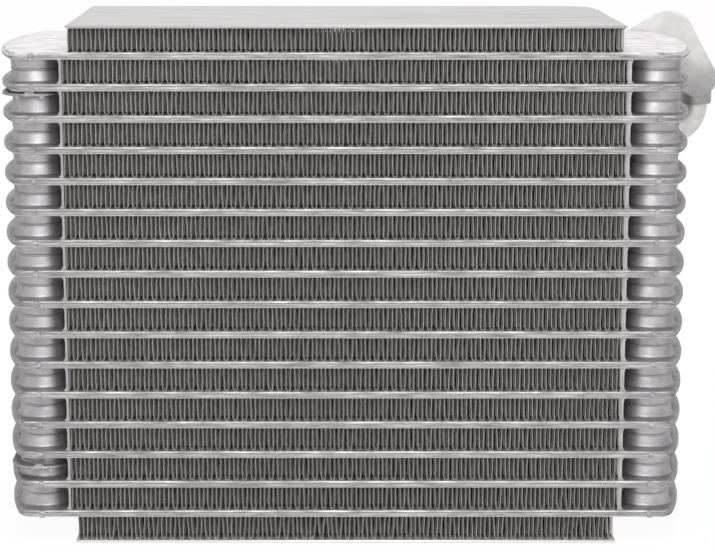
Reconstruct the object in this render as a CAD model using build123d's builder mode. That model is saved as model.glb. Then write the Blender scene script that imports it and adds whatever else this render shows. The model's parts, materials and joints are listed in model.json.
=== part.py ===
from build123d import *
import math
import os

# An automotive air conditioning evaporator of the laminated kind. Flat tubes, each brazed
# from two stamped half plates, are stacked with corrugated fins between them. Cups drawn
# in both ends of the plates meet their neighbours and form a header tank at each side.
# X runs along the tubes, the air passes along Y from the front, and Z is the stacking
# direction. The origin is the middle of the lower end plate's underside.

# Stack
tube_count = 16
tube_thickness = 2.6
fin_height = 8.4
core_depth = 90.0
plate_length = 248.8

# Stamped half plates
plate_sheet = 0.5
rim_width = 1.5
end_corner_run = 7.2
end_corner_depth = 31.0
groove_count = 7
groove_pitch = 11.0
groove_width = 2.4
groove_depth = 0.5
groove_end_margin = 9.0

# Header cups
cup_width = 18.0
cup_end_margin = 6.0
cup_edge_margin = 6.0
cup_draft = 8.0
cup_corner_run = 5.3
cup_corner_depth = 8.0

# Blank plates that turn the flow in the left header
partition_sheet = 1.0
partition_overhang = 1.0
upper_partition_gap = 2
upper_partition_drop = 1.0
lower_partition_gap = 14

# Corrugated fins: one fold here stands for several of the real sheet
fin_folds = 28
fin_sheet = 0.3
fin_end_clearance = 1.1
outer_fin_setback = 2.1

# End plates
end_sheet = 1.0
end_overhang = 0.2
end_rear_corner = 12.0
end_rear_run_in = 3.5

# Brazed joints and the two blocks on the right header's rear
braze_gap = 0.05
block_thickness = 16.0
block_edge = 1.0
passage_offset = 6.5
tongue_width = 13.0
tongue_clearance = 0.3
tongue_slot_width = 9.0
tongue_slot_height = 4.6
socket_depth = 5.0
port_depth = 8.0

# Suction side of the connection block, measured from the cup it feeds from
suction_gap = 1
foot_radius = 7.0
suction_lobe_radius = 11.0
suction_port_offset = 14.2
suction_port_rise = 4.0
suction_port_radius = 7.5
cross_passage_radius = 3.6

# Liquid side of the connection block
liquid_lobe_radius = 7.5
liquid_port_offset = 26.8
liquid_port_drop = 11.7
liquid_port_radius = 4.6
liquid_passage_radius = 3.4
spigot_radius = 6.5
spigot_length = 10.3

# Clamp hole for the expansion valve
clamp_hole_offset = 15.4
clamp_hole_drop = 8.6
clamp_hole_radius = 3.2

# Liquid pipe and its header block
liquid_gap = 4
liquid_pipe_diameter = 10.0
liquid_bend_radius = 10.5
liquid_bend_steps = 6
liquid_block_width = 15.0
liquid_block_height = 15.0

# Derived places
tube_pitch = tube_thickness + fin_height
half_tube = tube_thickness / 2
half_depth = core_depth / 2
cup_half_depth = half_depth - cup_edge_margin
cup_centre_x = plate_length / 2 - cup_end_margin - cup_width / 2
fin_length = 2 * (cup_centre_x - cup_width / 2 - fin_end_clearance)
outer_fin_length = fin_length - 2 * outer_fin_setback
end_length = outer_fin_length + 2 * end_overhang
fin_depth = core_depth - 2 * (rim_width + plate_sheet)
lowest_tube_z = end_sheet + fin_height + half_tube
top_tube_z = lowest_tube_z + (tube_count - 1) * tube_pitch
stack_top = top_tube_z + half_tube + fin_height + end_sheet
block_rear = half_depth + block_thickness
passage_y = half_depth + passage_offset


def tube_z(number):
    """Height of a tube's brazed seam. Tube 1 is the top one."""
    return top_tube_z - (number - 1) * tube_pitch


def gap_z(number):
    """Height of the middle of the gap under a tube."""
    return tube_z(number) - tube_pitch / 2


def stack_plane(height, facing=1, side=1):
    """Plane across the stack that faces up or down, its X towards the right or left header."""
    return Plane((0, 0, height), x_dir=(side, 0, 0), z_dir=(0, 0, facing))


def write(piece, name):
    """Labels a piece and writes its file."""
    piece.label = name
    export_step(piece, f"parts/{name}.step")


def plate_outline(inset=0.0):
    """Plan of a half plate: long sides with bevelled, blunt ends."""
    with BuildSketch(mode=Mode.PRIVATE) as outline:
        with BuildLine():
            Polyline(
                (plate_length / 2, 0),
                (plate_length / 2, half_depth - end_corner_depth),
                (plate_length / 2 - end_corner_run, half_depth),
                (0, half_depth),
            )
            mirror(about=Plane.XZ)
            mirror(about=Plane.YZ)
        make_face()
        if inset:
            offset(amount=-inset, kind=Kind.INTERSECTION)
    return outline.sketch


def cup_outline(inset=0.0):
    """Plan of the right header's cup: long across the plate, with bevelled ends."""
    inner = cup_centre_x - cup_width / 2
    outer = cup_centre_x + cup_width / 2
    with BuildSketch(mode=Mode.PRIVATE) as outline:
        with BuildLine():
            Polyline(
                (outer, 0),
                (outer, cup_half_depth - cup_corner_depth),
                (outer - cup_corner_run, cup_half_depth),
                (inner + cup_corner_run, cup_half_depth),
                (inner, cup_half_depth - cup_corner_depth),
                (inner, 0),
            )
            mirror(about=Plane.XZ)
        make_face()
        if inset:
            offset(amount=-inset, kind=Kind.INTERSECTION)
    return outline.sketch


def cupped_half(name, seam, facing, cup_heights):
    """Half of a tube above or below its seam, with a drawn, open cup at each end."""
    with BuildPart() as half:
        with BuildSketch(stack_plane(seam, facing)):
            add(plate_outline())
        extrude(amount=plate_sheet)
        with BuildSketch(stack_plane(seam, facing)):
            add(plate_outline(rim_width))
        extrude(amount=half_tube)
        for side, height in cup_heights.items():
            with BuildSketch(stack_plane(seam + facing * half_tube, facing, side)):
                add(cup_outline())
            extrude(amount=height, taper=cup_draft)
        with BuildSketch(stack_plane(seam, facing)):
            add(plate_outline(rim_width + plate_sheet))
        extrude(amount=half_tube - plate_sheet, mode=Mode.SUBTRACT)
        for side, height in cup_heights.items():
            floor = seam + facing * (half_tube - plate_sheet)
            with BuildSketch(stack_plane(floor, facing, side)):
                add(cup_outline(plate_sheet))
            extrude(amount=height + plate_sheet, taper=cup_draft, mode=Mode.SUBTRACT)
    write(half.part, name)


def closing_half(name, seam, facing):
    """Outermost half of the first or last tube: no cups, and grooves pressed along it."""
    groove_length = plate_length - 2 * groove_end_margin
    groove_floor = half_tube - groove_depth
    with BuildPart() as half:
        with BuildSketch(stack_plane(seam, facing)):
            add(plate_outline())
        extrude(amount=plate_sheet)
        with BuildSketch(stack_plane(seam, facing)):
            add(plate_outline(rim_width))
        extrude(amount=half_tube)
        with BuildSketch(stack_plane(seam, facing)):
            add(plate_outline(rim_width + plate_sheet))
        extrude(amount=half_tube - plate_sheet, mode=Mode.SUBTRACT)
        with BuildSketch(stack_plane(seam + facing * (groove_floor - plate_sheet), facing)):
            with GridLocations(0, groove_pitch, 1, groove_count):
                Rectangle(groove_length + 2 * plate_sheet, groove_width + 2 * plate_sheet)
        extrude(amount=groove_depth)
        with BuildSketch(stack_plane(seam + facing * groove_floor, facing)):
            with GridLocations(0, groove_pitch, 1, groove_count):
                Rectangle(groove_length, groove_width)
        extrude(amount=groove_depth, mode=Mode.SUBTRACT)
    write(half.part, name)


def corrugated_fin(name, middle, length):
    """Sheet folded up and down between two tubes."""
    fold = length / fin_folds
    lift = fin_sheet * math.hypot(fold, fin_height) / fold
    bottom = middle - fin_height / 2
    upper_face = [
        (-length / 2 + fold * i, bottom + (fin_height if i % 2 else lift))
        for i in range(fin_folds + 1)
    ]
    lower_face = [(x, z - lift) for x, z in upper_face]
    with BuildPart() as fin:
        with BuildSketch(Plane.XZ):
            with BuildLine():
                Polyline(*upper_face, *reversed(lower_face), close=True)
            make_face()
        extrude(amount=fin_depth / 2, both=True)
    write(fin.part, name)


def partition_plate(name, underside):
    """Blank plate that closes the left header between two cups."""
    with BuildPart() as blank:
        with BuildSketch(stack_plane(underside, side=-1)):
            add(cup_outline(-partition_overhang))
        extrude(amount=partition_sheet)
    write(blank.part, name)


def end_plate(name, underside, rear_corner, rear_run_in):
    """Flat sheet over an outer fin. Its right end may run in towards a round rear corner."""
    with BuildPart() as plate:
        with BuildSketch(stack_plane(underside)) as plan:
            Polygon(
                (-end_length / 2, -half_depth),
                (end_length / 2, -half_depth),
                (end_length / 2 - rear_run_in, half_depth),
                (-end_length / 2, half_depth),
                align=None,
            )
            if rear_corner:
                rear_vertices = plan.vertices().group_by(Axis.Y)[-1]
                fillet(rear_vertices.sort_by(Axis.X)[-1], rear_corner)
        extrude(amount=end_sheet)
    write(plate.part, name)


def connection_block(name, foot, suction_port, liquid_port, clamp_hole):
    """Forging brazed behind the right header: its rear takes the expansion valve."""
    with BuildPart() as block:
        with BuildSketch(Plane.XZ.offset(-half_depth)):
            with Locations(foot):
                Circle(foot_radius)
            with Locations(suction_port):
                Circle(suction_lobe_radius)
            with Locations(liquid_port):
                Circle(liquid_lobe_radius)
            make_hull()
        extrude(amount=-block_thickness)
        chamfer(block.faces().sort_by(Axis.Y)[-1].edges(), block_edge)
        # Tongue that reaches in between the tubes to the cup
        with BuildSketch(Plane.XZ.offset(-half_depth)):
            with Locations(foot):
                Rectangle(tongue_width, fin_height - 2 * tongue_clearance)
        extrude(amount=cup_edge_margin)
        # Spigot that takes the liquid pipe from below
        with BuildSketch(Plane.XY.offset(liquid_port[1] - spigot_length)):
            with Locations((liquid_port[0], passage_y)):
                Circle(spigot_radius)
        extrude(amount=spigot_length)
        with BuildSketch(Plane.XY.offset(liquid_port[1] - spigot_length)):
            with Locations((liquid_port[0], passage_y)):
                Circle(liquid_pipe_diameter / 2 + braze_gap)
        extrude(amount=socket_depth, mode=Mode.SUBTRACT)
        with BuildSketch(Plane.XY.offset(liquid_port[1] - spigot_length)):
            with Locations((liquid_port[0], passage_y)):
                Circle(liquid_passage_radius)
        extrude(amount=spigot_length, mode=Mode.SUBTRACT)
        # Ports for the valve, each drilled deep enough to meet its passage
        with BuildSketch(Plane.XZ.offset(-block_rear)):
            with Locations(suction_port):
                Circle(suction_port_radius)
            with Locations(liquid_port):
                Circle(liquid_port_radius)
        extrude(amount=port_depth, mode=Mode.SUBTRACT)
        # Suction passage across the block and out through the tongue
        with BuildSketch(Plane.YZ.offset(foot[0])):
            with Locations((passage_y, foot[1])):
                Circle(cross_passage_radius)
        extrude(amount=suction_port[0] - foot[0], mode=Mode.SUBTRACT)
        with BuildSketch(Plane.XZ.offset(-passage_y)):
            with Locations(foot):
                Rectangle(tongue_slot_width, tongue_slot_height)
        extrude(amount=passage_y - cup_half_depth, mode=Mode.SUBTRACT)
        # Through hole for the bolt that clamps the valve
        with BuildSketch(Plane.XZ.offset(-block_rear)):
            with Locations(clamp_hole):
                Circle(clamp_hole_radius)
        extrude(amount=block_thickness, mode=Mode.SUBTRACT)
    write(block.part, name)


def liquid_header_block(name, middle):
    """Small block on the header's rear that carries the liquid pipe's flow to a cup."""
    face_x = cup_centre_x + liquid_block_width / 2
    with BuildPart() as block:
        with BuildSketch(Plane.XZ.offset(-half_depth)):
            with Locations((cup_centre_x, middle)):
                Rectangle(liquid_block_width, liquid_block_height)
        extrude(amount=-block_thickness)
        with BuildSketch(Plane.XZ.offset(-half_depth)):
            with Locations((cup_centre_x, middle)):
                Rectangle(tongue_width, fin_height - 2 * tongue_clearance)
        extrude(amount=cup_edge_margin)
        with BuildSketch(Plane.YZ.offset(face_x)):
            with Locations((passage_y, middle)):
                Circle(liquid_pipe_diameter / 2 + braze_gap)
        extrude(amount=-socket_depth, mode=Mode.SUBTRACT)
        with BuildSketch(Plane.YZ.offset(face_x)):
            with Locations((passage_y, middle)):
                Circle(liquid_passage_radius)
        extrude(amount=-liquid_block_width / 2, mode=Mode.SUBTRACT)
        with BuildSketch(Plane.XZ.offset(-passage_y)):
            with Locations((cup_centre_x, middle)):
                Rectangle(tongue_slot_width, tongue_slot_height)
        extrude(amount=passage_y - cup_half_depth, mode=Mode.SUBTRACT)
    write(block.part, name)


def liquid_pipe(name, start, end):
    """Pipe with one bend, from the header block's socket up into the spigot.

    Both of its ends are hidden, so it has no bore, and short lengths make up the bend.
    """
    radius = liquid_bend_radius
    bend_x = end[0] - radius
    bend_z = start[1] + radius
    turns = [math.radians(90 * step / liquid_bend_steps) for step in range(liquid_bend_steps + 1)]
    bend = [
        (bend_x + radius * math.sin(turn), passage_y, bend_z - radius * math.cos(turn))
        for turn in turns
    ]
    with BuildPart() as pipe:
        with BuildLine() as route:
            Polyline((start[0], passage_y, start[1]), *bend, (end[0], passage_y, end[1]))
        with BuildSketch(Plane(route.line @ 0, z_dir=route.line % 0)):
            Circle(liquid_pipe_diameter / 2)
        sweep(path=route.line, transition=Transition.RIGHT)
    write(pipe.part, name)


def cup_heights(gap):
    """Heights of the cups that reach into a gap from above and from below, left and right."""
    even = fin_height / 2
    from_above = {-1: even, 1: even}
    from_below = {-1: even, 1: even}
    if gap == upper_partition_gap:
        from_above[-1] = upper_partition_drop
        from_below[-1] = fin_height - partition_sheet - upper_partition_drop
    if gap == lower_partition_gap:
        from_above[-1] = (fin_height - partition_sheet) / 2
        from_below[-1] = from_above[-1]
    return from_above, from_below


os.makedirs("parts", exist_ok=True)

# Tubes: the outermost halves close the stack, all others carry cups
for number in range(1, tube_count + 1):
    upper_name = f"tube_{number:02d}_upper_plate"
    lower_name = f"tube_{number:02d}_lower_plate"
    if number == 1:
        closing_half(upper_name, tube_z(number), 1)
    else:
        cupped_half(upper_name, tube_z(number), 1, cup_heights(number - 1)[1])
    if number == tube_count:
        closing_half(lower_name, tube_z(number), -1)
    else:
        cupped_half(lower_name, tube_z(number), -1, cup_heights(number)[0])

# Fins: one above every tube and one under the last
for number in range(1, tube_count + 2):
    outermost = number in (1, tube_count + 1)
    length = outer_fin_length if outermost else fin_length
    corrugated_fin(f"fin_{number:02d}", tube_z(number) + tube_pitch / 2, length)

# Blank plates in the left header
upper_partition_top = tube_z(upper_partition_gap) - half_tube - upper_partition_drop
partition_plate("partition_plate_upper", upper_partition_top - partition_sheet)
partition_plate("partition_plate_lower", gap_z(lower_partition_gap) - partition_sheet / 2)

# End plates over the outer fins
end_plate("end_plate_top", stack_top - end_sheet, end_rear_corner, end_rear_run_in)
end_plate("end_plate_bottom", 0, 0, 0)

# Connections behind the right header
foot = (cup_centre_x, gap_z(suction_gap))
suction_port = (foot[0] + suction_port_offset, foot[1] + suction_port_rise)
liquid_port = (foot[0] + liquid_port_offset, foot[1] - liquid_port_drop)
clamp_hole = (foot[0] + clamp_hole_offset, foot[1] - clamp_hole_drop)
connection_block("connection_block", foot, suction_port, liquid_port, clamp_hole)
liquid_header_block("liquid_header_block", gap_z(liquid_gap))
pipe_start = (cup_centre_x + liquid_block_width / 2 - socket_depth, gap_z(liquid_gap))
pipe_end = (liquid_port[0], liquid_port[1] - spigot_length + socket_depth)
liquid_pipe("liquid_pipe", pipe_start, pipe_end)
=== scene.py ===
import json
import math

import bmesh
import bpy
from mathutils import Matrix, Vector

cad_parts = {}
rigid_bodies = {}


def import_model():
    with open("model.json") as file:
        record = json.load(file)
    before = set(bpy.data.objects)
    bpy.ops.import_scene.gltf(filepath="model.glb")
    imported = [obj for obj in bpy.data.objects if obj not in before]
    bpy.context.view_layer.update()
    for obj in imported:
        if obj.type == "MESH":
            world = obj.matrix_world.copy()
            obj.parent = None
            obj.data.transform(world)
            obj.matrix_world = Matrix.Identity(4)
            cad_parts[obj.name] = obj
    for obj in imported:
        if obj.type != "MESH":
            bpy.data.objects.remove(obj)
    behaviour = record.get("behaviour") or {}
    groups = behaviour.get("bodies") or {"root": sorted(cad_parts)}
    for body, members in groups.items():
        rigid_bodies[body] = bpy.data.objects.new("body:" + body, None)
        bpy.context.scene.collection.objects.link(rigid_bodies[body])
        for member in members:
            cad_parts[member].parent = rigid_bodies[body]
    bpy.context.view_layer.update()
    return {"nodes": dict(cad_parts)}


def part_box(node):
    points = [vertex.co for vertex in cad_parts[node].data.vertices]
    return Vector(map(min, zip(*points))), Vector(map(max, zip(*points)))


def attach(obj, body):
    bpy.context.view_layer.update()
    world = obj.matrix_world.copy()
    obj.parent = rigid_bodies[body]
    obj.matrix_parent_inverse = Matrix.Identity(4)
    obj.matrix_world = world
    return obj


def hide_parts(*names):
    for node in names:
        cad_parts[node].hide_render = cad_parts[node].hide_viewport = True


# A laminated air conditioning evaporator: stamped half plates whose cups form the header
# tanks, fine louvred fins between the tubes, flat end plates and forged connections.
# Sizes are millimetres, which MM turns into Blender's metres. The values of the studio
# and of the materials are metres.

MM = 0.001

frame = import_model()
nodes = frame["nodes"]

# Places read from the frame
tube_numbers = sorted(int(name[5:7]) for name in nodes if name.endswith("upper_plate"))
fin_numbers = sorted(int(name[4:6]) for name in nodes if name.startswith("fin_"))
plate_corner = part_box("tube_02_upper_plate")[1]
PLATE_HALF_LENGTH = plate_corner.x / MM
HALF_DEPTH = plate_corner.y / MM
FIRST_TUBE, LAST_TUBE = tube_numbers[0], tube_numbers[-1]

# Camera
CAMERA_AIM = (-2.8, -45.0, 98.25)
CAMERA_DISTANCE = 800.2
CAMERA_RISE = math.radians(11.06)
CAMERA_LENS = 114.2
CAMERA_SENSOR = 36.0
CAMERA_SHIFT = 0.0273

# Edges, angles in degrees
SHARP_ANGLE = 40.0
FORGING_SHARP_ANGLE = 80.0
FLAT_ANGLE = 1.0
BEVEL_SEGMENTS = 3
MERGE_DISTANCE = 0.001

# Stamped half plates. The rim profile gives inset and height from the seam, and the metals
# are places in a piece's list of materials.
HALF_TUBE = 1.3
PLATE_SHEET = 0.5
END_ARC_RADIUS = 140.0
CORNER_RADIUS = 5.0
CORNER_STEPS = 6
END_STEPS = 16
RIM_PROFILE = [
    (0.0, 0.0),
    (0.0, 0.42),
    (0.15, 0.55),
    (0.7, 0.58),
    (0.85, 0.7),
    (1.0, 1.1),
    (1.1, 1.22),
    (1.3, 1.3),
]
SHEARED_EDGE_HEIGHT = 0.5
SLOPE_HEIGHT = 0.65
SHEARED_METAL = 1
# The lower halves' slopes take a metal painted bright as a painted highlight.
PAINTED_HIGHLIGHT_METAL = 2

# Header cups. The foot gives offset and height, the lips give narrowing and drop from the top.
CUP_CENTRE_X = 109.4
CUP_RADIUS = 9.0
CUP_HALF_DEPTH = 39.0
CUP_STEPS = 16
CUP_FOOT = [(1.3, 0.0), (0.75, 0.07), (0.3, 0.32), (0.05, 0.8), (0.0, 1.1)]
CUP_DRAFT = 0.09
UPWARD_LIP = [(0.0, 0.45), (0.12, 0.15), (0.5, 0.0)]
DOWNWARD_LIP = [(0.0, 0.7), (-0.35, 0.35), (-0.35, 0.1), (0.3, 0.0)]
GAP_HEIGHT = 8.4

# Partition plates, each under the tube whose number is given. The rim gives inset and height.
PARTITION_SHEET = 1.0
UPPER_PARTITION_TUBE = 2
UPPER_PARTITION_DROP = 1.0
LOWER_PARTITION_TUBE = 14
PARTITION_CENTRE_X = -110.4
PARTITION_RADIUS = 11.0
PARTITION_HALF_DEPTH = 42.3
PARTITION_RIM = [(0.9, -0.5), (0.15, -0.5), (0.0, -0.3), (0.0, 0.3), (0.15, 0.5), (0.9, 0.5)]
PARTITION_TAB = (3.4, 1.6, 2.0)
PARTITION_TAB_INSET = 0.6
PARTITION_TAB_RISE = 0.5
PARTITION_TAB_ROUNDING = 0.5
DIMPLE = (1.6, 1.2, 1.2)
DIMPLE_SPACING = 4.2
DIMPLE_INSET = 0.4
DIMPLE_DROP = 0.2
DIMPLE_ROUNDING = 0.4

# Grooves in the outermost half plates, whose profile gives half width and depth
GROOVE_COUNT = 7
GROOVE_PITCH = 11.0
GROOVE_HALF_LENGTH = 115.4
GROOVE_PROFILE = [(1.3, 0.0), (0.85, 0.12), (0.5, 0.42), (0.2, 0.5)]
GROOVE_END_STEPS = 4

# Crimped tabs that held each tube's halves together for brazing
TAB_WIDTH = 3.2
TAB_DEPTH = 2.0
TAB_HEIGHT = 2.5
TAB_ROUNDING = 0.75
TAB_STAND_PROUD = 0.6

# Fins: one folded foil a row, with louvres cut near its front and rear faces
LEG_PITCH = 1.576
CREST_HALF_WIDTH = 0.755
CREST_HEIGHT = 0.5
CREST_STEPS = 3
FOIL = 0.09
LEG_VARIANTS = 8
LEG_STOPS = (0.0, 0.33, 0.67, 1.0)
LOUVRE_HALF_HEIGHT = 3.6
LOUVRE_WIDTH = 1.1
LOUVRE_PITCH = 1.2
LOUVRE_ANGLE = 13.0
LOUVRES = 3
TURNING_LOUVRE_WIDTH = 1.9
TURNING_LOUVRE_ANGLE = 40.0
BOW = 0.12
SWAY_SHARE = 0.4
LEAN = math.radians(1.6)
LOWEST_FIN_LEAN = math.radians(4.5)

# Strips at the fin ends, which flare by an amount at each share of their height
LEFT_STRIP_WIDTH = 0.9
RIGHT_STRIP_WIDTH = 1.3
LEFT_STRIP_SHIFT = -0.2
RIGHT_STRIP_SHIFT = -0.6
STRIP_TURN = 0.5
STRIP_SHEET = 0.3
STRIP_FLARES = [
    (0.0, 0.9),
    (0.05, 0.4),
    (0.12, 0.1),
    (0.2, 0.0),
    (0.8, 0.0),
    (0.88, 0.1),
    (0.95, 0.4),
    (1.0, 0.9),
]

# Forgings and the liquid pipe
FORGING_VOXEL = 0.45
BLOCK_SMOOTHING = 6
HEADER_BLOCK_SMOOTHING = 4
PIPE_BEND_RADIUS = 10.5
PIPE_BEND_STEPS = 18
PIPE_SIDES = 40

# End plates
END_PLATE_EDGE = 0.3

# Painted shade, darkening the colour of parts that lie in shade: the plates' outer ends and the
# connection block's foot
OUTER_END_SHADE = {"Axis": (1, 0, 0), "Bright At": 0.1105, "Dark At": 0.1195, "Share": 0.58}
BLOCK_FOOT_SHADE = {"Axis": (0, 0, 1), "Bright At": 0.17, "Dark At": 0.152, "Share": 0.56}

# Studio. Each lamp has a name, a place, a width and its watts.
WORLD_STRENGTH = 0.8
FLOOR_REACH = 6.0
PAPER_TONE = 0.97
PAPER_ROUGHNESS = 0.9
PAPER_GLOW = 0.94
LAMP_AIM = (0.0, 0.0, 0.09)
LAMPS = [
    ("top_lamp", (0.1, -0.2, 1.2), 1.2, 4.0),
    ("front_lamp", (-0.02, -0.62, 0.5), 0.4, 1.7),
    ("rear_lamp", (0.0, 0.9, 0.9), 0.9, 2.6),
]

# Sockets that share a name with others on their node, by number
MIX_FIRST, MIX_SECOND, MIX_RESULT = 6, 7, 2
SHADER_FIRST, SHADER_SECOND = 1, 2
RANDOM_LEAST, RANDOM_MOST, RANDOM_RESULT = 2, 3, 1
RANDOM_WHOLE_LEAST, RANDOM_WHOLE_MOST, RANDOM_WHOLE_RESULT = 4, 5, 2


def link(name, mesh):
    """A mesh as an object at the origin."""
    piece = bpy.data.objects.new(name, mesh)
    bpy.context.scene.collection.objects.link(piece)
    return piece


def made_mesh(bm, name):
    """The mesh of a shape that is ready."""
    mesh = bpy.data.meshes.new(name)
    bm.to_mesh(mesh)
    bm.free()
    return mesh


def plain_mesh(piece, name):
    """The evaluated mesh of an object, with its modifiers taken up and removed."""
    graph = bpy.context.evaluated_depsgraph_get()
    mesh = bpy.data.meshes.new_from_object(piece.evaluated_get(graph))
    mesh.name = name
    piece.modifiers.clear()
    piece.data = mesh
    return mesh


def merged_copy(node):
    """Shape of a CAD node with its doubled corners merged."""
    bm = bmesh.new()
    bm.from_mesh(nodes[node].data)
    bmesh.ops.remove_doubles(bm, verts=bm.verts, dist=MERGE_DISTANCE * MM)
    return bm


def soften(mesh, angle=SHARP_ANGLE):
    """Smooth shading with sharp edges above an angle in degrees."""
    for polygon in mesh.polygons:
        polygon.use_smooth = True
    mesh.set_sharp_from_angle(angle=math.radians(angle))


def finish_piece(piece, metals, slot, *replaced):
    """Gives a piece its metals and its body, and hides the CAD nodes that it stands for. The slot
    is not used.
    """
    for index, material in enumerate(metals):
        if index < len(piece.data.materials):
            piece.data.materials[index] = material
        else:
            piece.data.materials.append(material)
    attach(piece, "root")
    if replaced:
        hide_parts(*replaced)


def photograph_camera():
    """Camera in front of the core and slightly above it, with its picture shifted sideways."""
    data = bpy.data.cameras.new("camera")
    data.lens = CAMERA_LENS
    data.sensor_width = CAMERA_SENSOR
    data.shift_x = CAMERA_SHIFT
    camera = bpy.data.objects.new("camera", data)
    way = Vector((0, -math.cos(CAMERA_RISE), math.sin(CAMERA_RISE)))
    camera.location = Vector(CAMERA_AIM) * MM + way * (CAMERA_DISTANCE * MM)
    camera.rotation_euler = (math.pi / 2 - CAMERA_RISE, 0, 0)
    bpy.context.scene.collection.objects.link(camera)
    bpy.context.scene.camera = camera


# Node helpers
def calculate(tree, operation, first, second=None):
    """Result of a Math node on a socket and, where one is given, a second socket or a number."""
    node = tree.nodes.new("ShaderNodeMath")
    node.operation = operation
    tree.links.new(first, node.inputs[0])
    if isinstance(second, float):
        node.inputs[1].default_value = second
    elif second is not None:
        tree.links.new(second, node.inputs[1])
    return node.outputs["Value"]


def mix_colours(tree, share, first, second):
    """Mix of two colours by a share of the second."""
    node = tree.nodes.new("ShaderNodeMix")
    node.data_type = "RGBA"
    tree.links.new(share, node.inputs["Factor"])
    tree.links.new(first, node.inputs[MIX_FIRST])
    tree.links.new(second, node.inputs[MIX_SECOND])
    return node.outputs[MIX_RESULT]


def new_group(name, inputs, outputs):
    """Empty shader node group with named inputs and outputs."""
    group = bpy.data.node_groups.new(name, "ShaderNodeTree")
    for label, kind, value in inputs:
        socket = group.interface.new_socket(label, in_out="INPUT", socket_type=kind)
        socket.default_value = value
    for label, kind in outputs:
        group.interface.new_socket(label, in_out="OUTPUT", socket_type=kind)
    start = group.nodes.new("NodeGroupInput")
    end = group.nodes.new("NodeGroupOutput")
    return group, start, end


# Shared effects of the metals
def brazed_finish_group():
    """Mottled colour, uneven roughness and a fine grain, as left by the brazing furnace."""
    group, start, end = new_group(
        "brazed_finish",
        [
            ("Light Colour", "NodeSocketColor", (0.8, 0.8, 0.8, 1)),
            ("Dark Colour", "NodeSocketColor", (0.6, 0.6, 0.6, 1)),
            ("Mottle Scale", "NodeSocketFloat", 90.0),
            ("Grain Scale", "NodeSocketFloat", 1500.0),
            ("Grain Depth", "NodeSocketFloat", 0.15),
            ("Smoothest", "NodeSocketFloat", 0.3),
            ("Roughest", "NodeSocketFloat", 0.45),
            ("Stretch", "NodeSocketVector", (1, 1, 1)),
        ],
        [
            ("Colour", "NodeSocketColor"),
            ("Roughness", "NodeSocketFloat"),
            ("Normal", "NodeSocketVector"),
        ],
    )
    make = group.nodes.new
    wire = group.links.new
    coordinates = make("ShaderNodeTexCoord")
    stretch = make("ShaderNodeVectorMath")
    stretch.operation = "MULTIPLY"
    wire(coordinates.outputs["Object"], stretch.inputs[0])
    wire(start.outputs["Stretch"], stretch.inputs[1])
    mottle = make("ShaderNodeTexNoise")
    mottle.inputs["Detail"].default_value = 5.0
    mottle.inputs["Roughness"].default_value = 0.6
    wire(stretch.outputs["Vector"], mottle.inputs["Vector"])
    wire(start.outputs["Mottle Scale"], mottle.inputs["Scale"])
    spread = make("ShaderNodeMapRange")
    spread.inputs["From Min"].default_value = 0.3
    spread.inputs["From Max"].default_value = 0.7
    wire(mottle.outputs["Fac"], spread.inputs["Value"])
    dark, light = start.outputs["Dark Colour"], start.outputs["Light Colour"]
    wire(mix_colours(group, spread.outputs["Result"], dark, light), end.inputs["Colour"])
    rough = make("ShaderNodeMapRange")
    wire(mottle.outputs["Fac"], rough.inputs["Value"])
    wire(start.outputs["Roughest"], rough.inputs["To Min"])
    wire(start.outputs["Smoothest"], rough.inputs["To Max"])
    wire(rough.outputs["Result"], end.inputs["Roughness"])
    grain = make("ShaderNodeTexNoise")
    grain.inputs["Detail"].default_value = 3.0
    wire(stretch.outputs["Vector"], grain.inputs["Vector"])
    wire(start.outputs["Grain Scale"], grain.inputs["Scale"])
    bump = make("ShaderNodeBump")
    bump.inputs["Distance"].default_value = 0.0002
    wire(grain.outputs["Fac"], bump.inputs["Height"])
    wire(start.outputs["Grain Depth"], bump.inputs["Strength"])
    wire(bump.outputs["Normal"], end.inputs["Normal"])
    return group


def painted_edge_highlight_group():
    """Painted highlight: brightens a colour along edges where light catches them."""
    group, start, end = new_group(
        "edge_wear",
        [
            ("Colour", "NodeSocketColor", (0.7, 0.7, 0.7, 1)),
            ("Worn Colour", "NodeSocketColor", (0.9, 0.9, 0.9, 1)),
            ("Width", "NodeSocketFloat", 0.0006),
        ],
        [("Colour", "NodeSocketColor")],
    )
    make = group.nodes.new
    wire = group.links.new
    bevel = make("ShaderNodeBevel")
    bevel.samples = 4
    wire(start.outputs["Width"], bevel.inputs["Radius"])
    face = make("ShaderNodeNewGeometry")
    likeness = make("ShaderNodeVectorMath")
    likeness.operation = "DOT_PRODUCT"
    wire(bevel.outputs["Normal"], likeness.inputs[0])
    wire(face.outputs["Normal"], likeness.inputs[1])
    mask = make("ShaderNodeMapRange")
    mask.inputs["From Min"].default_value = 0.99
    mask.inputs["From Max"].default_value = 0.85
    wire(likeness.outputs["Value"], mask.inputs["Value"])
    plain, lit_colour = start.outputs["Colour"], start.outputs["Worn Colour"]
    wire(mix_colours(group, mask.outputs["Result"], plain, lit_colour), end.inputs["Colour"])
    return group


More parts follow.
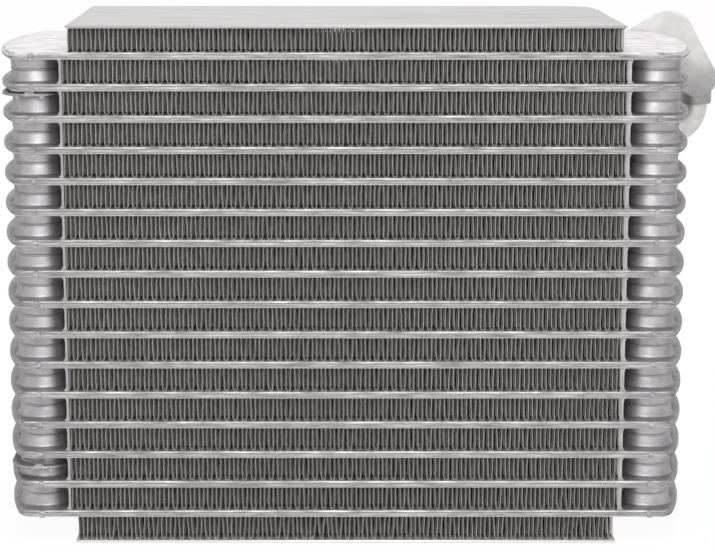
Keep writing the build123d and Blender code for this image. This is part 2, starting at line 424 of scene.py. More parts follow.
def outer_shade_group():
    """Painted shade: darkens a colour to a share of itself between two distances from the origin
    on an axis.
    """
    group, start, end = new_group(
        "outer_shade",
        [
            ("Colour", "NodeSocketColor", (0.7, 0.7, 0.7, 1)),
            ("Axis", "NodeSocketVector", (1, 0, 0)),
            ("Bright At", "NodeSocketFloat", 0.1),
            ("Dark At", "NodeSocketFloat", 0.12),
            ("Share", "NodeSocketFloat", 0.6),
        ],
        [("Colour", "NodeSocketColor")],
    )
    make = group.nodes.new
    wire = group.links.new
    coordinates = make("ShaderNodeTexCoord")
    along = make("ShaderNodeVectorMath")
    along.operation = "DOT_PRODUCT"
    wire(coordinates.outputs["Object"], along.inputs[0])
    wire(start.outputs["Axis"], along.inputs[1])
    tone = make("ShaderNodeMapRange")
    tone.interpolation_type = "SMOOTHSTEP"
    tone.inputs["To Min"].default_value = 1.0
    wire(calculate(group, "ABSOLUTE", along.outputs["Value"]), tone.inputs["Value"])
    wire(start.outputs["Bright At"], tone.inputs["From Min"])
    wire(start.outputs["Dark At"], tone.inputs["From Max"])
    wire(start.outputs["Share"], tone.inputs["To Max"])
    shaded = make("ShaderNodeMix")
    shaded.data_type = "RGBA"
    shaded.blend_type = "MULTIPLY"
    shaded.inputs["Factor"].default_value = 1.0
    wire(start.outputs["Colour"], shaded.inputs[MIX_FIRST])
    wire(tone.outputs["Result"], shaded.inputs[MIX_SECOND])
    wire(shaded.outputs[MIX_RESULT], end.inputs["Colour"])
    return group


def shared_groups():
    """The groups that all metals use, each built once."""
    return {
        "finish": brazed_finish_group(),
        "lit_edges": painted_edge_highlight_group(),
        "shade": outer_shade_group(),
    }


def add_group(tree, group, settings, colour=None):
    """Group node with a material's own values, fed with a colour where it takes one."""
    node = tree.nodes.new("ShaderNodeGroup")
    node.node_tree = group
    for label, value in settings.items():
        node.inputs[label].default_value = value
    if colour is not None:
        tree.links.new(colour, node.inputs["Colour"])
    return node


def metal(groups, name, look, metallic=1.0, lit_edges=None, shade=None):
    """Aluminium whose colour, roughness and grain come from the shared groups, with painted
    highlights on edges and painted shade where these are given.
    """
    material = bpy.data.materials.new(name)
    material.use_nodes = True
    tree = material.node_tree
    shader = tree.nodes["Principled BSDF"]
    shader.inputs["Metallic"].default_value = metallic
    finish = add_group(tree, groups["finish"], look)
    tree.links.new(finish.outputs["Roughness"], shader.inputs["Roughness"])
    tree.links.new(finish.outputs["Normal"], shader.inputs["Normal"])
    colour = finish.outputs["Colour"]
    if lit_edges:
        colour = add_group(tree, groups["lit_edges"], lit_edges, colour).outputs["Colour"]
    if shade:
        colour = add_group(tree, groups["shade"], shade, colour).outputs["Colour"]
    tree.links.new(colour, shader.inputs["Base Color"])
    return material


# Metals of the pieces
def brazed_plate(groups, name, shade=None):
    """Dull, mottled face of a brazed plate, with a painted highlight along its edges and painted
    shade where given.
    """
    look = {
        "Light Colour": (0.62, 0.60, 0.61, 1),
        "Dark Colour": (0.43, 0.415, 0.43, 1),
        "Mottle Scale": 160.0,
        "Grain Scale": 2600.0,
        "Grain Depth": 0.15,
        "Smoothest": 0.42,
        "Roughest": 0.58,
    }
    lit_edges = {"Worn Colour": (0.68, 0.66, 0.66, 1), "Width": 0.0003}
    return metal(groups, name, look, lit_edges=lit_edges, shade=shade)


def sheared_edge(groups, name, shade=None):
    """Rough edge of the sheet, streaked along its length by the shearing tool, with painted shade
    where given.
    """
    look = {
        "Light Colour": (0.68, 0.67, 0.665, 1),
        "Dark Colour": (0.24, 0.23, 0.235, 1),
        "Mottle Scale": 700.0,
        "Grain Scale": 3000.0,
        "Grain Depth": 0.4,
        "Smoothest": 0.45,
        "Roughest": 0.65,
        "Stretch": (0.15, 1.0, 1.0),
    }
    return metal(groups, name, look, shade=shade)


def bright_slope(groups):
    """Painted highlight: brighter braze metal on the lower slope of a tube, where it catches the
    light.
    """
    look = {
        "Light Colour": (0.80, 0.785, 0.78, 1),
        "Dark Colour": (0.62, 0.61, 0.61, 1),
        "Mottle Scale": 500.0,
        "Grain Scale": 2600.0,
        "Grain Depth": 0.2,
        "Smoothest": 0.4,
        "Roughest": 0.55,
    }
    return metal(groups, "bright_slope", look, shade=OUTER_END_SHADE)


def fin_foil(groups):
    """Thin foil under a film of flux, half metal and half dull."""
    look = {
        "Light Colour": (0.62, 0.612, 0.595, 1),
        "Dark Colour": (0.45, 0.442, 0.425, 1),
        "Mottle Scale": 220.0,
        "Grain Scale": 2000.0,
        "Grain Depth": 0.1,
        "Smoothest": 0.3,
        "Roughest": 0.5,
    }
    return metal(groups, "fin_foil", look, metallic=0.4)


def rolled_sheet(groups):
    """Upper end plate: grey sheet with long rolling marks, kept darker than the lower one as
    painted shade, with a painted highlight along its edges.
    """
    look = {
        "Light Colour": (0.38, 0.37, 0.37, 1),
        "Dark Colour": (0.31, 0.30, 0.305, 1),
        "Mottle Scale": 40.0,
        "Grain Scale": 900.0,
        "Grain Depth": 0.08,
        "Smoothest": 0.4,
        "Roughest": 0.55,
        "Stretch": (1.0, 7.0, 7.0),
    }
    lit_edges = {"Worn Colour": (0.86, 0.85, 0.84, 1), "Width": 0.0004}
    return metal(groups, "rolled_sheet", look, lit_edges=lit_edges)


def pale_rolled_sheet(groups):
    """Lower end plate: the same sheet, made pale as painted light."""
    look = {
        "Light Colour": (0.93, 0.91, 0.90, 1),
        "Dark Colour": (0.88, 0.86, 0.85, 1),
        "Mottle Scale": 40.0,
        "Grain Scale": 900.0,
        "Grain Depth": 0.08,
        "Smoothest": 0.4,
        "Roughest": 0.5,
        "Stretch": (1.0, 7.0, 7.0),
    }
    return metal(groups, "pale_rolled_sheet", look)


def forged_aluminium(groups, name, shade=None):
    """Pale, cloudy skin of a forging, with painted shade where given."""
    look = {
        "Light Colour": (0.90, 0.87, 0.87, 1),
        "Dark Colour": (0.54, 0.52, 0.525, 1),
        "Mottle Scale": 45.0,
        "Grain Scale": 1600.0,
        "Grain Depth": 0.3,
        "Smoothest": 0.42,
        "Roughest": 0.62,
    }
    return metal(groups, name, look, shade=shade)


# Stamped plates
def place(points, height):
    """Plan points in millimetres as a ring in metres at a height."""
    return [Vector((x * MM, y * MM, height * MM)) for x, y in points]


def plate_plan(inset):
    """Plan of a half plate: straight sides, rounded corners and gently curved ends."""
    arc_centre = PLATE_HALF_LENGTH - END_ARC_RADIUS
    corner_y = HALF_DEPTH - CORNER_RADIUS
    reach = END_ARC_RADIUS - CORNER_RADIUS
    corner_x = arc_centre + math.sqrt(reach**2 - corner_y**2)
    turn = math.atan2(corner_y, corner_x - arc_centre)
    corner = []
    for step in range(CORNER_STEPS + 1):
        angle = math.pi / 2 - (math.pi / 2 - turn) * step / CORNER_STEPS
        radius = CORNER_RADIUS - inset
        corner.append((corner_x + radius * math.cos(angle), corner_y + radius * math.sin(angle)))
    arc = []
    for step in range(1, END_STEPS):
        angle = turn - 2 * turn * step / END_STEPS
        radius = END_ARC_RADIUS - inset
        arc.append((arc_centre + radius * math.cos(angle), radius * math.sin(angle)))
    right = corner + arc + [(x, -y) for x, y in reversed(corner)]
    return right + [(-x, -y) for x, y in right]


def long_plan(centre, half_length, radius, steps, along_x):
    """Plan with two straight sides and round ends, for a cup, a partition plate or a groove."""
    points = []
    straight = half_length - radius
    for end in (1, -1):
        for step in range(steps + 1):
            angle = math.pi * step / steps - end * math.pi / 2
            points.append((end * straight + radius * math.cos(angle), radius * math.sin(angle)))
    if along_x:
        return [(centre[0] + a, centre[1] + b) for a, b in points]
    return [(centre[0] - b, centre[1] + a) for a, b in points]


def add_rings(bm, rings):
    """Joins rings of equal length by quads and returns the first and last ring's edges."""
    rows = [[bm.verts.new(point) for point in ring] for ring in rings]
    count = len(rows[0])
    for lower, upper in zip(rows, rows[1:]):
        for i in range(count):
            j = (i + 1) % count
            bm.faces.new((lower[i], lower[j], upper[j], upper[i]))
    ends = []
    for row in (rows[0], rows[-1]):
        ends.append([bm.edges.get((row[i], row[(i + 1) % count])) for i in range(count)])
    return ends


def fill(bm, edges):
    """Flat faces inside closed loops of edges, with the loops within them left open."""
    bmesh.ops.triangle_fill(bm, use_beauty=True, edges=edges)


def cup_profile(height, upward):
    """Cup wall as outward offsets and heights, from its foot to its lip."""
    lip = UPWARD_LIP if upward else DOWNWARD_LIP
    wall = [(offset, rise) for offset, rise in CUP_FOOT if rise < height - lip[0][1]]
    for narrowing, below in lip:
        wall.append((-CUP_DRAFT * height - narrowing, height - below))
    return wall


def add_cups(bm, cups, top, facing):
    """Cup walls by side and height, and the edges of their feet."""
    feet = []
    for side, height in cups.items():
        centre = (side * CUP_CENTRE_X, 0.0)
        rings = []
        for offset, rise in cup_profile(height, facing > 0):
            half_length, radius = CUP_HALF_DEPTH + offset, CUP_RADIUS + offset
            plan = long_plan(centre, half_length, radius, CUP_STEPS, False)
            rings.append(place(plan, top + facing * rise))
        feet += add_rings(bm, rings)[0]
    return feet


def add_grooves(bm, top, facing):
    """Lengthwise grooves pressed into a half plate, and the edges of their brims."""
    brims = []
    for row in range(GROOVE_COUNT):
        centre = (0.0, (row - (GROOVE_COUNT - 1) / 2) * GROOVE_PITCH)
        rings = []
        for radius, drop in GROOVE_PROFILE:
            plan = long_plan(centre, GROOVE_HALF_LENGTH + radius, radius, GROOVE_END_STEPS, True)
            rings.append(place(plan, top - facing * drop))
        brim, bottom = add_rings(bm, rings)
        brims += brim
        fill(bm, bottom)
    return brims


def mark_rim(bm, seam, facing):
    """Gives the rim's faces their metals by height: the lower halves' slopes take the painted
    highlight.
    """
    for face in bm.faces:
        height = max(abs(vert.co.z / MM - seam) for vert in face.verts)
        if height > SLOPE_HEIGHT and facing < 0:
            face.material_index = PAINTED_HIGHLIGHT_METAL
        elif height > SLOPE_HEIGHT or height < SHEARED_EDGE_HEIGHT:
            face.material_index = SHEARED_METAL


def turn_outwards(bm, facing):
    """Turns all faces away from the seam."""
    bmesh.ops.recalc_face_normals(bm, faces=bm.faces)
    bm.faces.ensure_lookup_table()
    largest = max(bm.faces, key=lambda face: face.calc_area())
    if largest.normal.z * facing < 0:
        bmesh.ops.reverse_faces(bm, faces=bm.faces)


def add_rounded_block(bm, centre, size, rounding):
    """Block with rounded edges, in millimetres."""
    made = bmesh.ops.create_cube(bm, size=1.0)["verts"]
    for vert in made:
        vert.co = Vector(c + v * s for c, v, s in zip(centre, vert.co, size)) * MM
    edges = list({edge for vert in made for edge in vert.link_edges})
    bmesh.ops.bevel(
        bm, geom=edges, offset=rounding * MM, segments=BEVEL_SEGMENTS, affect="EDGES"
    )


def add_tabs(mesh, seam):
    """Crimped tabs beside each header that stand slightly proud and grip both flanges."""
    bm = bmesh.new()
    bm.from_mesh(mesh)
    sheet_faces = set(bm.faces)
    for side in (-1, 1):
        for rim in (-1, 1):
            y = rim * (HALF_DEPTH + TAB_STAND_PROUD - TAB_DEPTH / 2)
            size = (TAB_WIDTH, TAB_DEPTH, TAB_HEIGHT)
            add_rounded_block(bm, (side * CUP_CENTRE_X, y, seam), size, TAB_ROUNDING)
    for face in set(bm.faces) - sheet_faces:
        face.material_index = SHEARED_METAL
    bm.to_mesh(mesh)
    bm.free()


def stamping(name, seam, facing, cups, with_tabs):
    """Half of a tube: rim, pan and either drawn cups or pressed grooves, in one sheet."""
    bm = bmesh.new()
    rings = [place(plate_plan(inset), seam + facing * rise) for inset, rise in RIM_PROFILE]
    pan = add_rings(bm, rings)[1]
    mark_rim(bm, seam, facing)
    top = seam + facing * HALF_TUBE
    pan += add_cups(bm, cups, top, facing) if cups else add_grooves(bm, top, facing)
    fill(bm, pan)
    turn_outwards(bm, facing)
    piece = link(name, made_mesh(bm, name))
    sheet = piece.modifiers.new("sheet", "SOLIDIFY")
    sheet.thickness = PLATE_SHEET * MM
    sheet.offset = -1.0
    mesh = plain_mesh(piece, name)
    if with_tabs:
        add_tabs(mesh, seam)
    soften(mesh)
    return piece


def cup_heights(tube):
    """Heights of the cups that meet in the gap under a tube, by side, from above and below."""
    even = GAP_HEIGHT / 2
    above = {-1: even, 1: even}
    below = {-1: even, 1: even}
    if tube == UPPER_PARTITION_TUBE:
        above[-1] = UPPER_PARTITION_DROP
        below[-1] = GAP_HEIGHT - PARTITION_SHEET - UPPER_PARTITION_DROP
    if tube == LOWER_PARTITION_TUBE:
        above[-1] = below[-1] = (GAP_HEIGHT - PARTITION_SHEET) / 2
    return above, below


def stamped_plates(metals, uppermost_metals):
    """All half plates, each in place of its CAD node."""
    for tube in tube_numbers:
        upper_node = f"tube_{tube:02d}_upper_plate"
        lower_node = f"tube_{tube:02d}_lower_plate"
        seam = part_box(upper_node)[0].z / MM
        upper_cups = {} if tube == FIRST_TUBE else cup_heights(tube - 1)[1]
        lower_cups = {} if tube == LAST_TUBE else cup_heights(tube)[0]
        upper_metals = uppermost_metals if tube == FIRST_TUBE else metals
        upper = stamping(f"tube_{tube:02d}_upper_stamping", seam, 1, upper_cups, True)
        finish_piece(upper, upper_metals, "plate_metal", upper_node)
        lower = stamping(f"tube_{tube:02d}_lower_stamping", seam, -1, lower_cups, False)
        finish_piece(lower, metals, "plate_metal", lower_node)


def add_partition_marks(bm, middle):
    """Tab and two dimples at the front of a partition plate."""
    front = -PARTITION_HALF_DEPTH
    tab_centre = (PARTITION_CENTRE_X, front + PARTITION_TAB_INSET, middle + PARTITION_TAB_RISE)
    add_rounded_block(bm, tab_centre, PARTITION_TAB, PARTITION_TAB_ROUNDING)
    for side in (-1, 1):
        x = PARTITION_CENTRE_X + side * DIMPLE_SPACING
        z = middle - PARTITION_SHEET / 2 - DIMPLE_DROP
        add_rounded_block(bm, (x, front + DIMPLE_INSET, z), DIMPLE, DIMPLE_ROUNDING)


def partition_plates(material):
    """Blank plates in the left header, each with a flange, a tab and two dimples."""
    for node in ("partition_plate_upper", "partition_plate_lower"):
        low, high = (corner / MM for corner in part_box(node))
        middle = (low.z + high.z) / 2
        bm = bmesh.new()
        rings = []
        for inset, rise in PARTITION_RIM:
            half_length, radius = PARTITION_HALF_DEPTH - inset, PARTITION_RADIUS - inset
            plan = long_plan((PARTITION_CENTRE_X, 0.0), half_length, radius, CUP_STEPS, False)
            rings.append(place(plan, middle + rise))
        for loop in add_rings(bm, rings):
            fill(bm, loop)
        add_partition_marks(bm, middle)
        bmesh.ops.recalc_face_normals(bm, faces=bm.faces)
        mesh = made_mesh(bm, node)
        soften(mesh)
        finish_piece(link("flanged_" + node, mesh), [material], "plate_metal", node)


# Fins
def leg_line(bow, sway):
    """Centre line of one leg from a trough to the next crest, as x and z offsets."""
    half_pitch = LEG_PITCH / 2
    half_height = GAP_HEIGHT / 2 - FOIL / 2
    foot = half_pitch - CREST_HALF_WIDTH
    crest = []
    for step in range(CREST_STEPS + 1):
        turn = math.pi / 2 * step / CREST_STEPS
        x = half_pitch - CREST_HALF_WIDTH * math.cos(turn)
        crest.append((x, half_height - CREST_HEIGHT * (1 - math.sin(turn))))
    trough = [(-x, -z) for x, z in reversed(crest)]
    middle = []
    for part in LEG_STOPS:
        z = LOUVRE_HALF_HEIGHT * (2 * part - 1)
        curve = bow * math.sin(math.pi * part) + sway * math.sin(2 * math.pi * part)
        middle.append((foot * (2 * part - 1) + curve, z))
    return trough, middle, crest


def close_strip(bm, rows):
    """Sides and ends of a strip from rows of four corners, and its faces."""
    made = []
    for lower, upper in zip(rows, rows[1:]):
        for i in range(4):
            j = (i + 1) % 4
            made.append(bm.faces.new((lower[i], lower[j], upper[j], upper[i])))
    made.append(bm.faces.new(rows[0]))
    made.append(bm.faces.new(list(reversed(rows[-1]))))
    return made


def add_strip(bm, line, direction, from_y, to_y):
    """Foil strip along Y under a line of x and z points, slanted by a sideways direction."""
    rows = []
    for i, (x, z) in enumerate(line):
        before, after = line[max(i - 1, 0)], line[min(i + 1, len(line) - 1)]
        across = Vector((after[1] - before[1], 0, before[0] - after[0])).normalized() * FOIL / 2
        near = Vector((x + direction * from_y[1], from_y[0], z))
        far = Vector((x + direction * to_y[1], to_y[0], z))
        corners = (near - across, far - across, far + across, near + across)
        rows.append([bm.verts.new(corner * MM) for corner in corners])
    close_strip(bm, rows)


def louvred_leg(name, half_depth, bow, sway):
    """One leg of the folded foil: plain bands at crest and trough, louvres near both faces."""
    bm = bmesh.new()
    trough, middle, crest = leg_line(bow, sway)
    bank = LOUVRES * LOUVRE_PITCH + TURNING_LOUVRE_WIDTH
    whole = ((-half_depth, 0), (half_depth, 0))
    add_strip(bm, trough + middle[:1], 0.0, *whole)
    add_strip(bm, middle[-1:] + crest, 0.0, *whole)
    add_strip(bm, middle, 0.0, (-half_depth + bank, 0), (half_depth - bank, 0))
    blades = [(LOUVRE_PITCH * (i + 0.5), LOUVRE_WIDTH, LOUVRE_ANGLE) for i in range(LOUVRES)]
    blades.append((bank - TURNING_LOUVRE_WIDTH / 2, TURNING_LOUVRE_WIDTH, TURNING_LOUVRE_ANGLE))
    for inset, width, angle in blades:
        slant = math.tan(math.radians(angle))
        along = width / 2 * math.cos(math.radians(angle))
        for centre in (inset - half_depth, half_depth - inset):
            add_strip(bm, middle, slant, (centre - along, -along), (centre + along, along))
    bmesh.ops.recalc_face_normals(bm, faces=bm.faces)
    return bpy.data.objects.new(name, made_mesh(bm, name))


def random_shape(tree, seed):
    """Number of a leg's shape, drawn for each leg."""
    pick = tree.nodes.new("FunctionNodeRandomValue")
    pick.data_type = "INT"
    pick.inputs[RANDOM_WHOLE_LEAST].default_value = 0
    pick.inputs[RANDOM_WHOLE_MOST].default_value = LEG_VARIANTS - 1
    tree.links.new(seed, pick.inputs["Seed"])
    return pick.outputs[RANDOM_WHOLE_RESULT]


def random_lean(tree, most, seed):
    """Angle between most to one side and most to the other, drawn for each leg."""
    lean = tree.nodes.new("FunctionNodeRandomValue")
    lean.data_type = "FLOAT"
    least = calculate(tree, "MULTIPLY", most, -1.0)
    tree.links.new(least, lean.inputs[RANDOM_LEAST])
    tree.links.new(most, lean.inputs[RANDOM_MOST])
    tree.links.new(seed, lean.inputs["Seed"])
    return lean.outputs[RANDOM_RESULT]


def leg_rotation(tree, start):
    """Rotation of each leg: every other one is turned round, and all lean a little."""
    index = tree.nodes.new("GeometryNodeInputIndex").outputs["Index"]
    turn = calculate(tree, "MULTIPLY", calculate(tree, "MODULO", index, 2.0), math.pi)
    rotation = tree.nodes.new("ShaderNodeCombineXYZ")
    lean = random_lean(tree, start.outputs["Lean"], start.outputs["Seed"])
    tree.links.new(lean, rotation.inputs["Y"])
    tree.links.new(turn, rotation.inputs["Z"])
    return rotation.outputs["Vector"]


def new_fin_tree():
    """Empty geometry nodes tree with the named inputs of a fin."""
    tree = bpy.data.node_groups.new("folded_fin", "GeometryNodeTree")
    tree.is_modifier = True
    sockets = [
        ("Geometry", "NodeSocketGeometry"),
        ("Legs", "NodeSocketInt"),
        ("First Leg", "NodeSocketVector"),
        ("Leg Pitch", "NodeSocketFloat"),
        ("Leg Shapes", "NodeSocketCollection"),
        ("Lean", "NodeSocketFloat"),
        ("Seed", "NodeSocketInt"),
        ("Metal", "NodeSocketMaterial"),
    ]
    for label, kind in sockets:
        tree.interface.new_socket(label, in_out="INPUT", socket_type=kind)
    tree.interface.new_socket("Geometry", in_out="OUTPUT", socket_type="NodeSocketGeometry")
    return tree, tree.nodes.new("NodeGroupInput"), tree.nodes.new("NodeGroupOutput")


def fin_tree():
    """Geometry nodes that set legs in a row, every other one turned round, and join them."""
    tree, start, end = new_fin_tree()
    make = tree.nodes.new
    wire = tree.links.new
    step = make("ShaderNodeCombineXYZ")
    wire(start.outputs["Leg Pitch"], step.inputs["X"])
    row = make("GeometryNodeMeshLine")
    wire(start.outputs["Legs"], row.inputs["Count"])
    wire(start.outputs["First Leg"], row.inputs["Start Location"])
    wire(step.outputs["Vector"], row.inputs["Offset"])
    shapes = make("GeometryNodeCollectionInfo")
    shapes.inputs["Separate Children"].default_value = True
    shapes.inputs["Reset Children"].default_value = True
    wire(start.outputs["Leg Shapes"], shapes.inputs["Collection"])
    legs = make("GeometryNodeInstanceOnPoints")
    legs.inputs["Pick Instance"].default_value = True
    wire(row.outputs["Mesh"], legs.inputs["Points"])
    wire(shapes.outputs["Instances"], legs.inputs["Instance"])
    wire(random_shape(tree, start.outputs["Seed"]), legs.inputs["Instance Index"])
    wire(leg_rotation(tree, start), legs.inputs["Rotation"])
    joined = make("GeometryNodeRealizeInstances")
    wire(legs.outputs["Instances"], joined.inputs["Geometry"])
    painted = make("GeometryNodeSetMaterial")
    wire(joined.outputs["Geometry"], painted.inputs["Geometry"])
    wire(start.outputs["Metal"], painted.inputs["Material"])
    wire(painted.outputs["Geometry"], end.inputs["Geometry"])
    return tree


def set_inputs(modifier, values):
    """Sets geometry nodes inputs by the identifiers of their sockets."""
    for item in modifier.node_group.interface.items_tree:
        if item.in_out == "INPUT" and item.name in values:
            modifier[item.identifier] = values[item.name]


def leg_shapes():
    """Collection of slightly different legs, bowed and swayed in turn."""
    half_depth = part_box("fin_02")[1].y / MM
    shapes = bpy.data.collections.new("leg_shapes")
    bpy.context.scene.collection.children.link(shapes)
    for variant in range(LEG_VARIANTS):
        phase = 2 * math.pi * variant / LEG_VARIANTS
        bow = BOW * math.sin(phase)
        sway = SWAY_SHARE * BOW * math.cos(phase)
        shapes.objects.link(louvred_leg(f"leg_{variant}", half_depth, bow, sway))
    return shapes


def louvred_fins(material):
    """All fins, each in place of its CAD node."""
    tree = fin_tree()
    shapes = leg_shapes()
    for number in fin_numbers:
        node = f"fin_{number:02d}"
        low, high = (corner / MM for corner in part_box(node))
        legs = round((high.x - low.x) / LEG_PITCH)
        pitch = (high.x - low.x) / legs
        piece = link(f"louvred_fin_{number:02d}", bpy.data.meshes.new(node))
        rows = piece.modifiers.new("rows", "NODES")
        rows.node_group = tree
        set_inputs(rows, {
            "Legs": legs,
            "First Leg": ((low.x + pitch / 2) * MM, 0.0, (low.z + high.z) / 2 * MM),
            "Leg Pitch": pitch * MM,
            "Leg Shapes": shapes,
            "Lean": LOWEST_FIN_LEAN if number == fin_numbers[-1] else LEAN,
            "Seed": number,
            "Metal": material,
        })
        plain_mesh(piece, piece.name)
        finish_piece(piece, [material], "fin_metal", node)
    for leg in list(shapes.objects):
        bpy.data.objects.remove(leg)
    bpy.data.collections.remove(shapes)


def add_end_strip(bm, side, end_x, front, low, high):
    """Flat strip beside a fin's end that flares into the tubes above and below."""
    width = RIGHT_STRIP_WIDTH if side > 0 else LEFT_STRIP_WIDTH
    centre = end_x + (RIGHT_STRIP_SHIFT if side > 0 else LEFT_STRIP_SHIFT)
    rows = []
    for part, flare in STRIP_FLARES:
        z = low + (high - low) * part
        left = centre - width / 2 - (flare if side < 0 else 0)
        right = centre + width / 2 + (flare if side > 0 else 0)
        corners = (
            (left, front + STRIP_TURN),
            (right, front),
            (right, front + STRIP_SHEET),
            (left, front + STRIP_TURN + STRIP_SHEET),
        )
        rows.append([bm.verts.new(Vector((x, y, z)) * MM) for x, y in corners])
    bmesh.ops.recalc_face_normals(bm, faces=close_strip(bm, rows))


def end_strips(material):
    """Strips at both ends of every inner fin, at the front."""
    bm = bmesh.new()
    for number in fin_numbers[1:-1]:
        low, high = (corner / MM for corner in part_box(f"fin_{number:02d}"))
        for side, end_x in ((-1, low.x), (1, high.x)):
            add_end_strip(bm, side, end_x, low.y, low.z, high.z)
    strips = link("fin_end_strips", made_mesh(bm, "fin_end_strips"))
    finish_piece(strips, [material], "plate_metal")


# Forged connections
def smooth_copy(node, name, rounds):
    """Copy of a CAD node with the soft edges of a forging."""
    piece = link(name, made_mesh(merged_copy(node), name))
    remesh = piece.modifiers.new("remesh", "REMESH")
    remesh.mode = "VOXEL"
    remesh.voxel_size = FORGING_VOXEL * MM
    smooth = piece.modifiers.new("smooth", "SMOOTH")
    smooth.factor = 0.5
    smooth.iterations = rounds
    soften(plain_mesh(piece, name), FORGING_SHARP_ANGLE)
    return piece


def pipe_path(low, high, radius):
    """Points and directions of the pipe's middle, from its lower end round the bend and up."""
    centre_y = (low.y + high.y) / 2
    end_x = high.x - radius
    start_z = low.z + radius
    path = [(Vector((low.x, centre_y, start_z)), 0.0)]
    for step in range(PIPE_BEND_STEPS + 1):
        turn = math.pi / 2 * step / PIPE_BEND_STEPS
        x = end_x - PIPE_BEND_RADIUS * (1 - math.sin(turn))
        z = start_z + PIPE_BEND_RADIUS * (1 - math.cos(turn))
        path.append((Vector((x, centre_y, z)), turn))
    path.append((Vector((end_x, centre_y, high.z)), math.pi / 2))
    return path


def liquid_pipe(material):
    """Round bent pipe in place of its CAD node."""
    low, high = (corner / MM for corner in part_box("liquid_pipe"))
    radius = (high.y - low.y) / 2
    rearward = Vector((0, 1, 0))
    bm = bmesh.new()
    rings = []
    for point, turn in pipe_path(low, high, radius):
        outward = Vector((math.sin(turn), 0, -math.cos(turn)))
        ring = []
        for side in range(PIPE_SIDES):
            angle = 2 * math.pi * side / PIPE_SIDES
            away = outward * math.cos(angle) + rearward * math.sin(angle)
            ring.append((point + away * radius) * MM)
        rings.append(ring)
    for loop in add_rings(bm, rings):
        bmesh.ops.contextual_create(bm, geom=loop)
    bmesh.ops.recalc_face_normals(bm, faces=bm.faces)
    mesh = made_mesh(bm, "bent_liquid_pipe")
    soften(mesh)
    finish_piece(link("bent_liquid_pipe", mesh), [material], "forged_metal", "liquid_pipe")


def forged_connections(material, block_material):
    """Connection block, header block and liquid pipe."""
    block = smooth_copy("connection_block", "forged_connection_block", BLOCK_SMOOTHING)
    finish_piece(block, [block_material], "forged_metal", "connection_block")
    header = smooth_copy("liquid_header_block", "forged_header_block", HEADER_BLOCK_SMOOTHING)
    finish_piece(header, [material], "forged_metal", "liquid_header_block")
    liquid_pipe(material)


def end_plates(top_material, bottom_material):
    """End plates with the slightly rounded edges of sheared sheet."""
    for node, material in (("end_plate_top", top_material), ("end_plate_bottom", bottom_material)):
        bm = merged_copy(node)
        flat = math.radians(FLAT_ANGLE)
        bmesh.ops.dissolve_limit(bm, angle_limit=flat, verts=bm.verts, edges=bm.edges)
        edge = END_PLATE_EDGE * MM
        bmesh.ops.bevel(bm, geom=bm.edges, offset=edge, segments=BEVEL_SEGMENTS, affect="EDGES")
        mesh = made_mesh(bm, node)
        soften(mesh)
        finish_piece(link("rolled_" + node, mesh), [material], "end_metal", node)


# Studio
def seen_as_white(tree):
    """Factor of 1 for what the camera sees, directly, reflected or through glass."""
    path = tree.nodes.new("ShaderNodeLightPath")
    camera, glossy = path.outputs["Is Camera Ray"], path.outputs["Is Glossy Ray"]
    seen = calculate(tree, "MAXIMUM", camera, glossy)
    return calculate(tree, "MAXIMUM", seen, path.outputs["Is Transmission Ray"])


def mix_shaders(tree, share, first, second, output):
    """Mix of two shaders by a share of the second, as a tree's surface."""
    mix = tree.nodes.new("ShaderNodeMixShader")
    tree.links.new(share, mix.inputs["Fac"])
    tree.links.new(first, mix.inputs[SHADER_FIRST])
    tree.links.new(second, mix.inputs[SHADER_SECOND])
    tree.links.new(mix.outputs["Shader"], tree.nodes[output].inputs["Surface"])


def white_world():
    """Soft light from all round, seen as plain white."""
    world = bpy.data.worlds.new("studio")
    bpy.context.scene.world = world
    world.use_nodes = True
    tree = world.node_tree
    plain = tree.nodes["Background"]
    plain.inputs["Color"].default_value = (1, 1, 1, 1)
    plain.inputs["Strength"].default_value = WORLD_STRENGTH
    white = tree.nodes.new("ShaderNodeBackground")
    white.inputs["Color"].default_value = (1, 1, 1, 1)
    light, seen = plain.outputs["Background"], white.outputs["Background"]
    mix_shaders(tree, seen_as_white(tree), light, seen, "World Output")


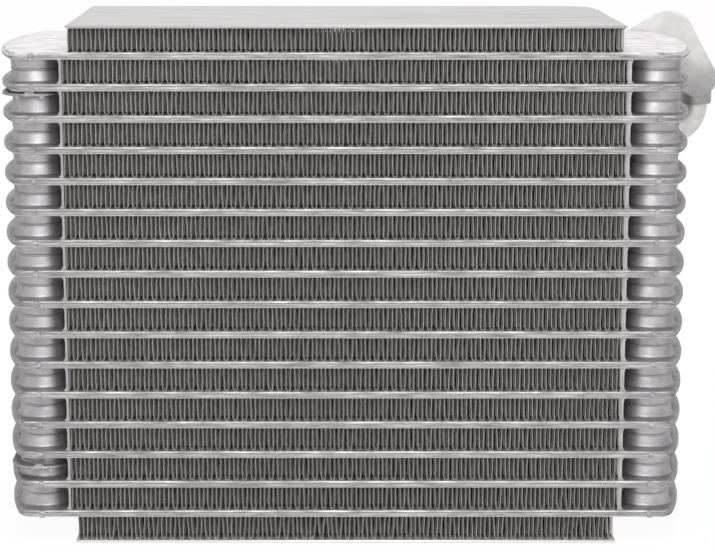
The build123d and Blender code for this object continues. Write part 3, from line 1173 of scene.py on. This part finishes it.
def floor_paper():
    """Pale paper that is nearly white where it is seen, and still takes the core's shadow."""
    material = bpy.data.materials.new("floor_paper")
    material.use_nodes = True
    tree = material.node_tree
    paper = tree.nodes["Principled BSDF"]
    paper.inputs["Base Color"].default_value = (PAPER_TONE, PAPER_TONE, PAPER_TONE, 1)
    paper.inputs["Roughness"].default_value = PAPER_ROUGHNESS
    glow = tree.nodes.new("ShaderNodeEmission").outputs["Emission"]
    share = calculate(tree, "MULTIPLY", seen_as_white(tree), PAPER_GLOW)
    mix_shaders(tree, share, paper.outputs["BSDF"], glow, "Material Output")
    return material


def floor():
    """Flat square floor under the core."""
    reach = FLOOR_REACH
    corners = [(-reach, -reach, 0), (reach, -reach, 0), (reach, reach, 0), (-reach, reach, 0)]
    mesh = bpy.data.meshes.new("floor")
    mesh.from_pydata(corners, [], [(0, 1, 2, 3)])
    sheet = link("floor", mesh)
    sheet.data.materials.append(floor_paper())


def soft_lamps():
    """Large lamps above, in front and behind, aimed at the core."""
    for name, position, size, power in LAMPS:
        data = bpy.data.lights.new(name, "AREA")
        data.size = size
        data.energy = power
        lamp = bpy.data.objects.new(name, data)
        lamp.location = position
        lamp.rotation_mode = "QUATERNION"
        aim = Vector(LAMP_AIM) - Vector(position)
        lamp.rotation_quaternion = aim.to_track_quat("-Z", "Y")
        bpy.context.scene.collection.objects.link(lamp)


photograph_camera()
groups = shared_groups()
# The uppermost tube's halves take the same metals without the painted shade at the outer ends.
plate_face = brazed_plate(groups, "brazed_plate", OUTER_END_SHADE)
plate_edge = sheared_edge(groups, "sheared_edge", OUTER_END_SHADE)
unshaded_face = brazed_plate(groups, "pale_brazed_plate")
unshaded_edge = sheared_edge(groups, "pale_sheared_edge")
forging = forged_aluminium(groups, "forged_aluminium")
block_forging = forged_aluminium(groups, "forged_block_aluminium", BLOCK_FOOT_SHADE)

stamped_plates([plate_face, plate_edge, bright_slope(groups)], [unshaded_face, unshaded_edge])
partition_plates(plate_face)
louvred_fins(fin_foil(groups))
end_strips(plate_face)
forged_connections(forging, block_forging)
# The end plates take a darker and a pale copy of one sheet: painted shade above, painted light
# below.
end_plates(rolled_sheet(groups), pale_rolled_sheet(groups))
white_world()
floor()
soft_lamps()
bpy.context.scene.view_settings.view_transform = "Standard"
